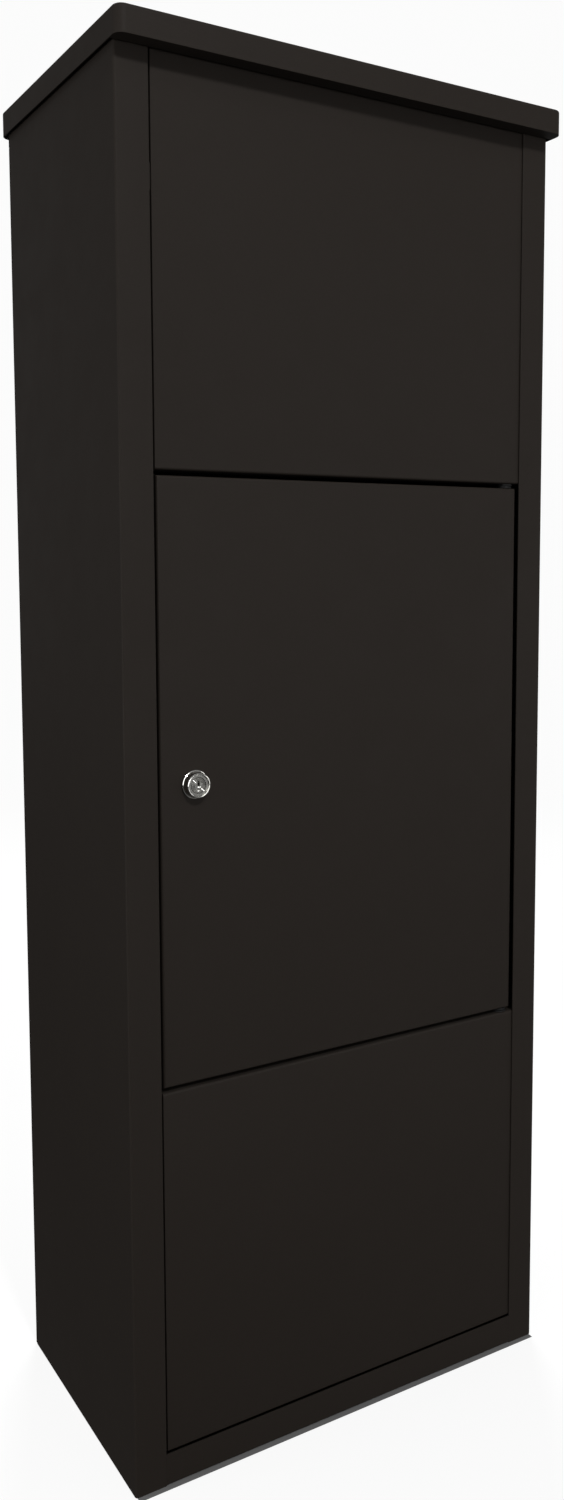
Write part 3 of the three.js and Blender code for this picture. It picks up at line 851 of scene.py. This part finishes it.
def lock_plug():
    """Rings turned in its face, a keyway, two domes, and a square tail with a stud behind."""
    box = Box("lock_plug")
    cam = Box("lock_cam")
    centre = (box.x, box.z)
    barrel_back = Box("lock_housing").back + GAP
    face = box.front
    ring_depth = 0.3 * MM
    outline = [(6.0 * MM, barrel_back), (6.0 * MM, face + 0.3 * MM), (5.7 * MM, face)]
    for radius in (4.9, 3.7):
        outline += [
            ((radius + 0.4) * MM, face),
            ((radius + 0.1) * MM, face + ring_depth),
            ((radius - 0.1) * MM, face + ring_depth),
            ((radius - 0.4) * MM, face),
        ]
    outline.append((0.5 * MM, face))
    body = turned("y", centre, outline, sides=96)
    square = 3 * MM
    tail = block(
        box.x - square, box.x + square, barrel_back - MM, cam.back + GAP, box.z - square, box.z + square
    )
    stud = rod("y", centre, 2.5 * MM, cam.back, box.back, sides=32)
    slot = 0.85 * MM
    keyway = block(
        box.x - slot, box.x + slot, face - MM, face + 8 * MM, box.z - 0.4 * MM, box.z + 3.6 * MM
    )
    ward = block(
        box.x, box.x + 1.5 * slot, face - MM, face + 8 * MM, box.z + 0.9 * MM, box.z + 1.7 * MM
    )
    domes = [
        dome(box.x + 0.6 * MM, face, box.z - 1.8 * MM, 1.6 * MM, 3.6 * MM),
        dome(box.x + 0.1 * MM, face, box.z - 4.5 * MM, 0.9 * MM, 2.4 * MM),
    ]
    whole = cut(union(body, tail, stud, *domes), keyway, ward)
    visual("lock_plug", "lock_cylinder", "chrome", whole, edge=0, smooth=CRISP_BELOW)


def dome(x, face, z, spread, radius):
    """A low dome on the plug's face: the cap of a ball, on a short root inside the plug."""
    sunk = math.sqrt(radius**2 - spread**2)
    rim = math.asin(spread / radius)
    steps = 8
    outline = [(spread, face + 0.3 * MM)]
    for step in range(steps):
        angle = rim * (1 - step / steps)
        outline.append((radius * math.sin(angle), face + sunk - radius * math.cos(angle)))
    return turned("y", (x, z), outline, sides=48)


def lock_cam():
    box = Box("lock_cam")
    centre = (box.x, Box("lock_plug").z)
    half = (box.right - box.left) / 2
    chamfer = 3 * MM
    steps = 24
    outline = []
    for step in range(steps + 1):
        angle = math.pi * step / steps
        outline.append((centre[0] + half * math.cos(angle), centre[1] + half * math.sin(angle)))
    outline += [
        (box.left, box.bottom + chamfer),
        (box.left + chamfer, box.bottom),
        (box.right - chamfer, box.bottom),
        (box.right, box.bottom + chamfer),
    ]
    square = 3 * MM + GAP
    hole = block(
        centre[0] - square,
        centre[0] + square,
        box.front - MM,
        box.back + MM,
        centre[1] - square,
        centre[1] + square,
    )
    plate = cut(prism("y", outline, box.front, box.back), hole)
    visual("lock_cam", "lock_cylinder", "zinc", plate, edge=0.3 * MM)


# ---------- lid ----------
def lid():
    box = Box("lid_pan")
    corner = 8 * MM
    half_x = (box.right - box.left) / 2
    half_y = (box.back - box.front) / 2
    place = Matrix.Translation((box.x, box.y, box.top))
    roof = moved(pan(half_x, half_y, box.top - box.bottom, corner), place)
    visual("lid_pan", "lid", "powder_coat", union(roof, lid_lip(box, corner)))
    stiffener = Box("lid_stiffener")
    height = stiffener.top - SHEET - stiffener.bottom
    section = hat(stiffener.y, stiffener.top - SHEET, -height, 14 * MM, 26 * MM)
    channel = prism("x", section, stiffener.left, stiffener.right)
    visual("lid_stiffener", "lid", "powder_coat", channel)
    foot = stiffener.top - SHEET
    marks = []
    for y in (stiffener.front + 6 * MM, stiffener.back - 6 * MM):
        for x in evenly(stiffener.left + 15 * MM, stiffener.right - 15 * MM, 6):
            marks.append(turned("z", (x, y), weld_mark(foot, -1), sides=24))
    piece("lid_weld_marks", "lid", "powder_coat", together(marks), edge=0)


def lid_lip(box, corner):
    """The front skirt's lower edge, folded in as far as the cabinet's front."""
    inset = SHEET / 2
    half_x = (box.right - box.left) / 2 - inset
    half_y = (box.back - box.front) / 2 - inset
    levels = (box.bottom, box.bottom + SHEET)
    plate = skin([rounded_rectangle(half_x, half_y, corner - inset, z) for z in levels])
    clearance = 1.5 * MM
    inner = Box("side_panel_left").front - clearance
    strip = block(box.left, box.right, box.front, inner, box.bottom - MM, box.bottom + 2 * SHEET)
    return combined(plate, [strip], "INTERSECT")


def lid_hinges():
    for side in ("left", "right"):
        fixed = Box(f"lid_hinge_fixed_leaf_{side}")
        pin = Box(f"lid_hinge_pin_{side}")
        half = (fixed.right - fixed.left) / 2
        third = half / 2
        spans = [(fixed.x - half, fixed.x - third - GAP), (fixed.x + third + GAP, fixed.x + half)]
        leaf = hinge_leaf(pin, fixed, fixed.front, 1, spans)
        visual(f"lid_hinge_fixed_leaf_{side}", "cabinet", "zinc", leaf)
        leaf = hinge_leaf(pin, fixed, fixed.back, -1, [(fixed.x - third, fixed.x + third)])
        visual(f"lid_hinge_moving_leaf_{side}", "lid", "zinc", leaf)
        visual(f"lid_hinge_pin_{side}", "cabinet", "zinc", hinge_pin(pin), edge=0)
        rivets(f"lid_hinge_rivets_{side}", "cabinet", fixed.front + SHEET, 1, fixed, pin)
        rivets(f"lid_hinge_lid_rivets_{side}", "lid", fixed.back - SHEET, -1, fixed, pin)


def hinge_leaf(pin, box, outer, inward, spans):
    """A plate beside the pin, with knuckles curled round it over the given spans."""
    knuckle = 3 * MM
    notch = knuckle + 0.6 * MM
    bore = 1.75 * MM
    faces = sorted((outer, outer + inward * SHEET))
    plate = block(box.left, box.right, *faces, pin.z + notch, box.top)
    parts = []
    for start, end in spans:
        curl = rod("x", (pin.y, pin.z), knuckle, start, end, sides=40)
        tab = block(start, end, *faces, pin.z, pin.z + notch + MM)
        parts += [curl, tab]
    hole = rod("x", (pin.y, pin.z), bore, box.left - MM, box.right + MM, sides=40)
    return cut(union(plate, *parts), hole)


def hinge_pin(box):
    """A pin with a domed head at each end."""
    radius = 1.5 * MM
    head = 2.4 * MM
    outline = [
        (0.6 * head, box.left),
        (0.9 * head, box.left + 0.3 * MM),
        (head, box.left + 0.8 * MM),
        (head, box.left + 1.2 * MM),
        (radius, box.left + 1.2 * MM),
        (radius, box.right - 1.2 * MM),
        (head, box.right - 1.2 * MM),
        (head, box.right - 0.8 * MM),
        (0.9 * head, box.right - 0.3 * MM),
        (0.6 * head, box.right),
    ]
    return turned("x", (box.y, box.z), outline, sides=32)


def rivet_outline(surface, outward, height=0.9 * MM):
    """A domed rivet head with a small dimple where its stem broke off."""
    radius = 2.6 * MM
    outline = [(radius, surface - outward * 0.1 * MM)]
    steps = 6
    for step in range(steps):
        angle = math.pi / 2 * step / steps
        outline.append((radius * math.cos(angle), surface + outward * height * math.sin(angle)))
    outline.append((0.3 * radius, surface + outward * height))
    outline.append((0.2 * radius, surface + outward * 0.6 * height))
    return outline


def rivets(name, body, surface, outward, leaf, pin):
    heads = []
    z = (pin.z + leaf.top) / 2 + 2 * MM
    for x in evenly(leaf.left + 8 * MM, leaf.right - 8 * MM, 3):
        heads.append(turned("y", (x, z), rivet_outline(surface, outward), sides=32))
    piece(name, body, "zinc", together(heads), edge=0)


# ---------- baffle ----------
def baffle_flap():
    box = Box("baffle_flap")
    axle = Box("baffle_rod")
    lip = 14 * MM
    ear_radius = axle.z - box.bottom
    section = folded([(box.front, box.top - lip), (box.front, box.top), (box.back - 5 * MM, box.top)][::-1])
    plate = prism("x", section, box.left, box.right)
    ear_front = box.front + 33 * MM
    outline = [(ear_front, box.top), (ear_front, box.top - 10 * MM)]
    steps = 16
    sweep = math.radians(150)
    for step in range(steps + 1):
        angle = -math.pi / 2 + sweep * step / steps
        outline.append((axle.y + ear_radius * math.cos(angle), axle.z + ear_radius * math.sin(angle)))
    ear = prism("x", outline, box.left, box.left + SHEET)
    rod_hole = 3.2 * MM
    hole = rod("x", (axle.y, axle.z), rod_hole, box.left - MM, box.right + MM)
    whole = cut(union(plate, ear, mirrored(ear)), hole)
    visual("baffle_flap", "baffle", "powder_coat", whole)


def baffle_supports():
    axle = Box("baffle_rod")
    radius = (axle.top - axle.bottom) / 2
    ease = 0.4 * MM
    outline = [
        (radius - ease, axle.left),
        (radius, axle.left + ease),
        (radius, axle.right - ease),
        (radius - ease, axle.right),
    ]
    visual("baffle_rod", "cabinet", "zinc", turned("x", (axle.y, axle.z), outline), edge=0)
    stop = Box("baffle_stop_rail")
    section = folded([(stop.front, stop.top), (stop.front, stop.bottom), (stop.back, stop.bottom)])
    visual("baffle_stop_rail", "cabinet", "powder_coat", prism("x", section, stop.left, stop.right))
    bracket = Box("baffle_bracket_left")
    plate = block(bracket.left, bracket.right, bracket.front, bracket.back, bracket.bottom, bracket.top)
    hole = rod("x", (axle.y, axle.z), radius + GAP, bracket.left - MM, bracket.right + MM)
    pair("baffle_bracket", "cabinet", "zinc", cut(plate, hole), edge=0.5 * MM)
    inset = 5 * MM
    heads = []
    for y in (bracket.front + inset, bracket.back - inset):
        for z in (bracket.bottom + inset, bracket.top - inset):
            head = rivet_outline(bracket.right, 1, height=0.8 * MM)
            heads.append(turned("x", (y, z), head, sides=32))
    left = together(heads)
    right = mirrored(left)
    piece("baffle_bracket_rivets_left", "cabinet", "zinc", left, edge=0)
    piece("baffle_bracket_rivets_right", "cabinet", "zinc", right, edge=0)
    buffer = Box("baffle_buffer_left")
    outer = (buffer.right - buffer.left) / 2
    ring = [
        (0.45 * outer, buffer.bottom + 0.25 * MM),
        (0.6 * outer, buffer.bottom),
        (0.9 * outer, buffer.bottom),
        (outer, buffer.bottom + 0.3 * MM),
        (outer, buffer.top),
    ]
    pad = turned("z", (buffer.x, buffer.y), ring)
    pair("baffle_buffer", "cabinet", "rubber", pad, edge=0)


def baffle_springs():
    """A coil round the rod with one leg bent back to the rear wall."""
    box = Box("baffle_spring_left")
    axle = Box("baffle_rod")
    gauge = 0.8 * MM
    mean = 5.1 * MM
    turns = 6
    steps = 40
    start = box.left + gauge
    length = box.right - gauge - start
    path = []
    for step in range(turns * steps + 1):
        angle = 2 * math.pi * step / steps
        along = start + length * step / (turns * steps)
        path.append(Vector((along, axle.y + mean * math.cos(angle), axle.z + mean * math.sin(angle))))
    leg_length = 13 * MM
    leg = [path[0] + Vector((0.0, 0.0, -leg_length * i / 6)) for i in range(6, 0, -1)]
    coil = wire(leg + path, gauge)
    pair("baffle_spring", "cabinet", "spring_steel", coil, edge=0)


# ---------- what shows on the outside of the sheets ----------
def rear_weld_marks():
    """Spot welds that hold the rear panel to the side panels' flanges and to the rails."""
    box = Box("rear_panel")
    inset = 9 * MM
    places = []
    for x in (box.left + inset, box.right - inset):
        places += [(x, z) for z in evenly(box.bottom + 45 * MM, box.top - 30 * MM, 12)]
    places += [(x, box.bottom + inset) for x in evenly(box.left + 60 * MM, box.right - 60 * MM, 4)]
    marks = [turned("y", place, weld_mark(box.back, 1), sides=24) for place in places]
    piece("rear_weld_marks", "cabinet", "powder_coat", together(marks), edge=0)


# ---------- studio ----------
def camera():
    """Stands to the left of the box at two thirds of its height, and looks slightly down.

    Its place, turn, lens and shift were fitted to the box's straight edges in the photograph.
    """
    data = bpy.data.cameras.new("camera")
    data.lens = 29.867
    data.sensor_width = 36.0
    data.shift_x = -0.01281
    data.shift_y = -0.04822
    thing = bpy.data.objects.new("camera", data)
    bpy.context.scene.collection.objects.link(thing)
    thing.location = (-0.5692, -0.9724, 0.7350)
    thing.rotation_euler = (math.radians(84.900), math.radians(0.177), math.radians(-31.177))
    bpy.context.scene.camera = thing


def area_light(name, place, size, power):
    """A white light that faces the middle of the box."""
    middle = Vector((0.0, 0.0, 0.6))
    data = bpy.data.lights.new(name, "AREA")
    data.shape = "RECTANGLE"
    data.size, data.size_y = size
    data.energy = power
    thing = bpy.data.objects.new(name, data)
    bpy.context.scene.collection.objects.link(thing)
    thing.location = place
    thing.rotation_euler = (middle - Vector(place)).to_track_quat("-Z", "Y").to_euler()


def by_ray(tree, seen, reflected, cast):
    """One look for the camera, one for reflections, and one for the light thrown on the box.

    Only the floor and the surround use this. It lets them look nearly white and light the box little.
    """
    ray = tree.nodes.new("ShaderNodeLightPath")
    shader = cast
    for kind, other in (("Is Glossy Ray", reflected), ("Is Camera Ray", seen)):
        mix = tree.nodes.new("ShaderNodeMixShader")
        tree.links.new(ray.outputs[kind], mix.inputs["Fac"])
        tree.links.new(shader, mix.inputs[1])
        tree.links.new(other, mix.inputs[2])
        shader = mix.outputs["Shader"]
    return shader


def studio():
    """A pale floor and surround, a key light above the front, fills all round, and a glint for the lock.

    The powers of the lights were fitted to the photograph's tones.
    """
    scene = bpy.context.scene
    scene.view_settings.view_transform = "Standard"
    world = bpy.data.worlds.new("studio")
    scene.world = world
    world.use_nodes = True
    tree = world.node_tree
    tree.nodes.clear()
    shaders = []
    for brightness in (SURROUND, SURROUND_LIGHT, SURROUND_LIGHT):
        background = tree.nodes.new("ShaderNodeBackground")
        background.inputs["Strength"].default_value = brightness
        background.inputs["Color"].default_value = (1.0, 1.0, 1.0, 1.0)
        shaders.append(background.outputs["Background"])
    output = tree.nodes.new("ShaderNodeOutputWorld")
    tree.links.new(by_ray(tree, *shaders), output.inputs["Surface"])
    area_light("key", (-0.4, -2.9, 3.1), (0.4, 0.4), 73.0)
    area_light("front", (0.0, -3.0, 0.7), (2.0, 1.2), 25.0)
    area_light("left", (-2.6, 0.1, 0.6), (1.2, 1.2), 31.0)
    area_light("right", (2.2, -1.9, 0.7), (1.4, 1.2), 9.0)
    area_light("rear", (1.3, 2.4, 1.9), (1.2, 1.2), 60.0)
    area_light("glint", (-1.7, -1.45, 2.9), (0.45, 0.45), 7.0)
    floor = bpy.data.objects.new("floor", floor_mesh())
    scene.collection.objects.link(floor)
    floor.location.z = -GAP


def floor_mesh():
    """A pale floor that fades into the surround and throws little light back.

    In reflections it is dark grey at the box's left and paler at its right.
    """
    half = 6.0
    mesh = bpy.data.meshes.new("floor")
    corners = [(-half, -half, 0.0), (half, -half, 0.0), (half, half, 0.0), (-half, half, 0.0)]
    mesh.from_pydata(corners, [], [(0, 1, 2, 3)])
    shader = Shader("floor", (0.5, 0.5, 0.5), 0.8, specular=0.2)
    shader.set("Emission Color", (1.0, 1.0, 1.0, 1.0))
    outside = shader.maths("SUBTRACT", 1.0, under_box(shader))
    shader.set("Emission Strength", shader.maths("MULTIPLY", outside, 0.85))
    mottle = shader.spread(shader.noise(0.4, 2.0), 0.0, 1.0)
    shader.set("Base Color", shader.blend(mottle, (0.155, 0.155, 0.155), (0.145, 0.145, 0.145)))
    white = (1.0, 1.0, 1.0, 1.0)
    dark = shader.node("ShaderNodeBsdfDiffuse", {"Color": (0.06, 0.06, 0.06, 1.0)})
    place = shader.node("ShaderNodeSeparateXYZ", {0: shader.place})
    reach = 0.4
    glow = shader.spread(place.outputs["X"], 0.03, 0.24, start=-reach, end=reach)
    grey = shader.node("ShaderNodeEmission", {"Color": white, "Strength": glow})
    far = shader.node("ShaderNodeEmission", {"Color": white, "Strength": SURROUND})
    distance = shader.node("ShaderNodeVectorMath", {0: shader.place}, operation="LENGTH")
    fade_start = 0.6
    fade_end = 3.0
    fade = shader.spread(distance.outputs["Value"], 0.0, 1.0, start=fade_start, end=fade_end)
    near = shader.principled.outputs["BSDF"]
    seen = shader.node("ShaderNodeMixShader", {0: fade, 1: near, 2: far.outputs["Emission"]})
    output = shader.tree.nodes["Material Output"]
    rays = (seen.outputs["Shader"], grey.outputs["Emission"], dark.outputs["BSDF"])
    surface = by_ray(shader.tree, *rays)
    shader.tree.links.new(surface, output.inputs["Surface"])
    mesh.materials.append(shader.material)
    return mesh


def under_box(shader):
    """1 on the floor under the base, where no light gets in, and 0 outside it.

    The base's front is nearer the middle than its back, but both are tested against the back. So a
    narrow strip of floor before the front also gets 1.
    """
    base = Box("base_pan")
    place = shader.node("ShaderNodeSeparateXYZ", {0: shader.place})
    inside = []
    for axis, half in (("X", base.right), ("Y", base.back)):
        distance = shader.maths("ABSOLUTE", place.outputs[axis], 0.0)
        inside.append(shader.maths("LESS_THAN", distance, half))
    return shader.maths("MULTIPLY", *inside)


camera()
studio()
side_panels()
rear_panel()
base_pan()
front_panels()
compartment_floor()
rim()
lid_seal()
jambs()
door_pivots()
door_panel()
lock()
lid()
lid_hinges()
baffle_flap()
baffle_supports()
baffle_springs()
rear_weld_marks()
